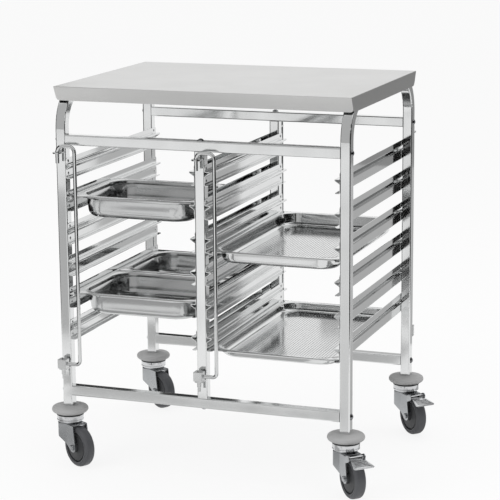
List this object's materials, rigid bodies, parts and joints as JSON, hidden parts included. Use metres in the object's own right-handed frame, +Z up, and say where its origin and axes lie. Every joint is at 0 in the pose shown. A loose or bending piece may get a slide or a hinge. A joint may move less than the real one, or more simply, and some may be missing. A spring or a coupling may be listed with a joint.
{
  "type": "tray trolley",
  "caption": "Stainless tray trolley: tube frame with worktop, runners for catering pans, swinging lock bars, and swivel castors with bumpers and brake pedals",
  "frame": {"origin": "on the floor, under the middle of the four legs", "axes": "+X to the right, +Y to the back, +Z up, seen from the front with the lock bars"},
  "size_m": [0.8512, 0.698, 0.941],
  "materials": {
    "polished_tube": "mirror-polished stainless tube",
    "polished_sheet": "bright stainless sheet",
    "polished_rod": "mirror-polished stainless rod",
    "brushed_sheet": "satin stainless sheet",
    "pan_steel": "satin stainless, drawn and stamped",
    "fastener_steel": "bright stainless fasteners",
    "zinc_plate": "bright zinc-plated pressing",
    "grey_bumper": "soft grey moulding",
    "grey_rubber": "grey non-marking rubber",
    "hub_plastic": "dark grey moulding",
    "black_plastic": "black moulding",
    "black_rubber": "black rubber"
  },
  "bodies": {
    "frame": {"left_side_frame": "polished_tube", "right_side_frame": "polished_tube", "front_upper_rail": "polished_tube", "rear_upper_rail": "polished_tube", "front_lower_rail": "polished_tube", "rear_lower_rail": "polished_tube", "front_middle_post": "polished_tube", "rear_middle_post": "polished_tube", "worktop": "brushed_sheet", "worktop_stiffeners": "brushed_sheet", "left_runners": "polished_sheet", "middle_left_runners": "polished_sheet", "middle_right_runners": "polished_sheet", "right_runners": "polished_sheet", "lock_bar_lugs": "polished_sheet", "runner_rivets": "fastener_steel", "frame_bolts": "fastener_steel", "worktop_studs": "fastener_steel", "worktop_cap_nuts": "fastener_steel", "castor_kingpins": "fastener_steel", "castor_ball_races": "fastener_steel", "tube_end_plugs": "black_plastic", "castor_expanders": "black_plastic", "castor_bumpers": "grey_bumper", "castor_head_cups": "zinc_plate"},
    "front_left_lock": {"front_left_lock_bar": "polished_rod", "front_left_lock_block": "polished_sheet"},
    "front_middle_lock": {"front_middle_lock_bar": "polished_rod", "front_middle_lock_block": "polished_sheet"},
    "rear_right_lock": {"rear_right_lock_bar": "polished_rod", "rear_right_lock_block": "polished_sheet"},
    "rear_middle_lock": {"rear_middle_lock_bar": "polished_rod", "rear_middle_lock_block": "polished_sheet"},
    "front_left_swivel": {"front_left_fork": "zinc_plate", "front_left_axle": "zinc_plate"},
    "front_left_wheel": {"front_left_wheel_core": "hub_plastic", "front_left_tyre": "grey_rubber"},
    "rear_left_swivel": {"rear_left_fork": "zinc_plate", "rear_left_axle": "zinc_plate"},
    "rear_left_wheel": {"rear_left_wheel_core": "hub_plastic", "rear_left_tyre": "grey_rubber"},
    "front_right_swivel": {"front_right_fork": "zinc_plate", "front_right_axle": "zinc_plate", "front_right_brake_pin": "zinc_plate"},
    "front_right_wheel": {"front_right_wheel_core": "hub_plastic", "front_right_tyre": "grey_rubber"},
    "front_right_brake": {"front_right_brake_pedal": "zinc_plate", "front_right_brake_shoe": "black_rubber"},
    "rear_right_swivel": {"rear_right_fork": "zinc_plate", "rear_right_axle": "zinc_plate", "rear_right_brake_pin": "zinc_plate"},
    "rear_right_wheel": {"rear_right_wheel_core": "hub_plastic", "rear_right_tyre": "grey_rubber"},
    "rear_right_brake": {"rear_right_brake_pedal": "zinc_plate", "rear_right_brake_shoe": "black_rubber"},
    "upper_half_pan": {"upper_half_pan": "pan_steel"},
    "lower_rear_half_pan": {"lower_rear_half_pan": "pan_steel"},
    "lower_front_half_pan": {"lower_front_half_pan": "pan_steel"},
    "upper_perforated_pan": {"upper_perforated_pan": "pan_steel"},
    "lower_perforated_pan": {"lower_perforated_pan": "pan_steel"}
  },
  "joints": [
    {"name": "front_left_lock_swing", "type": "hinge", "parent": "frame", "child": "front_left_lock", "pos_m": [-0.3575, -0.293, 0.262], "axis": [0, 0, -1], "range_deg": [0, 90]},
    {"name": "front_middle_lock_swing", "type": "hinge", "parent": "frame", "child": "front_middle_lock", "pos_m": [0, -0.293, 0.262], "axis": [0, 0, -1], "range_deg": [0, 90]},
    {"name": "rear_right_lock_swing", "type": "hinge", "parent": "frame", "child": "rear_right_lock", "pos_m": [0.3575, 0.293, 0.262], "axis": [0, 0, -1], "range_deg": [-78, 12]},
    {"name": "rear_middle_lock_swing", "type": "hinge", "parent": "frame", "child": "rear_middle_lock", "pos_m": [0, 0.293, 0.262], "axis": [0, 0, -1], "range_deg": [-78, 12]},
    {"name": "front_left_swivel_turn", "type": "hinge", "parent": "frame", "child": "front_left_swivel", "pos_m": [-0.3575, -0.2625, 0.105], "axis": [0, 0, 1], "continuous": true},
    {"name": "front_left_wheel_roll", "type": "hinge", "parent": "front_left_swivel", "child": "front_left_wheel", "pos_m": [-0.32493, -0.28207, 0.05], "axis": [0.515, 0.8572, 0], "continuous": true},
    {"name": "rear_left_swivel_turn", "type": "hinge", "parent": "frame", "child": "rear_left_swivel", "pos_m": [-0.3575, 0.2625, 0.105], "axis": [0, 0, 1], "continuous": true},
    {"name": "rear_left_wheel_roll", "type": "hinge", "parent": "rear_left_swivel", "child": "rear_left_wheel", "pos_m": [-0.326, 0.24125, 0.05], "axis": [0.5592, 0.829, 0], "continuous": true},
    {"name": "front_right_swivel_turn", "type": "hinge", "parent": "frame", "child": "front_right_swivel", "pos_m": [0.3575, -0.2625, 0.105], "axis": [0, 0, 1], "continuous": true},
    {"name": "front_right_wheel_roll", "type": "hinge", "parent": "front_right_swivel", "child": "front_right_wheel", "pos_m": [0.38293, -0.29074, 0.05], "axis": [0.7431, 0.6691, 0], "continuous": true},
    {"name": "front_right_brake_press", "type": "hinge", "parent": "front_right_swivel", "child": "front_right_brake", "pos_m": [0.39497, -0.30412, 0.10356], "axis": [0.7431, 0.6691, 0], "range_deg": [0, 8.5]},
    {"name": "rear_right_swivel_turn", "type": "hinge", "parent": "frame", "child": "rear_right_swivel", "pos_m": [0.3575, 0.2625, 0.105], "axis": [0, 0, 1], "continuous": true},
    {"name": "rear_right_wheel_roll", "type": "hinge", "parent": "rear_right_swivel", "child": "rear_right_wheel", "pos_m": [0.38437, 0.23563, 0.05], "axis": [0.7071, 0.7071, 0], "continuous": true},
    {"name": "rear_right_brake_press", "type": "hinge", "parent": "rear_right_swivel", "child": "rear_right_brake", "pos_m": [0.3971, 0.2229, 0.10356], "axis": [0.7071, 0.7071, 0], "range_deg": [0, 8.5]},
    {"name": "upper_half_pan_slide", "type": "slide", "parent": "frame", "child": "upper_half_pan", "axis": [0, 1, 0], "range_m": [-0.02, 0.54]},
    {"name": "lower_rear_half_pan_slide", "type": "slide", "parent": "frame", "child": "lower_rear_half_pan", "axis": [0, 1, 0], "range_m": [-0.02, 0.54]},
    {"name": "lower_front_half_pan_slide", "type": "slide", "parent": "frame", "child": "lower_front_half_pan", "axis": [0, 1, 0], "range_m": [-0.02, 0.54]},
    {"name": "upper_perforated_pan_slide", "type": "slide", "parent": "frame", "child": "upper_perforated_pan", "axis": [0, 1, 0], "range_m": [-0.02, 0.54]},
    {"name": "lower_perforated_pan_slide", "type": "slide", "parent": "frame", "child": "lower_perforated_pan", "axis": [0, 1, 0], "range_m": [-0.02, 0.54]}
  ],
  "couplings": [
    {"joint": "lower_front_half_pan_slide", "follows": "lower_rear_half_pan_slide", "ratio": 1}
  ]
}
